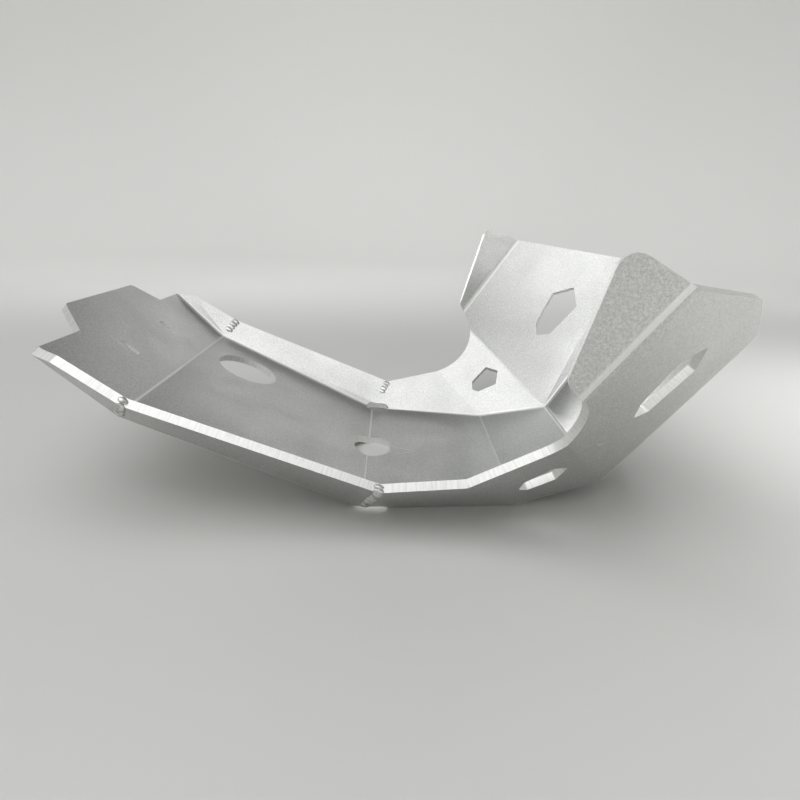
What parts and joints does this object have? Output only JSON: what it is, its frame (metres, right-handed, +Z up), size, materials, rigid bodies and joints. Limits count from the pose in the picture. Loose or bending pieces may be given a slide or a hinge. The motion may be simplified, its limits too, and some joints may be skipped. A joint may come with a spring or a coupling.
{
  "type": "motorcycle skid plate",
  "caption": "Folded and welded aluminium skid plate: a shallow tray with flared sides, a raised front with winged cheeks, vents and a drain hole.",
  "frame": {"origin": "on the ground, under the middle of the plate's length and width", "axes": "+X to the front of the motorcycle, +Y to its left side, +Z up"},
  "size_m": [0.4142, 0.3166, 0.161],
  "materials": {
    "sheet": "satin"
  },
  "bodies": {
    "root": {"skid_plate": "sheet"}
  },
  "joints": []
}
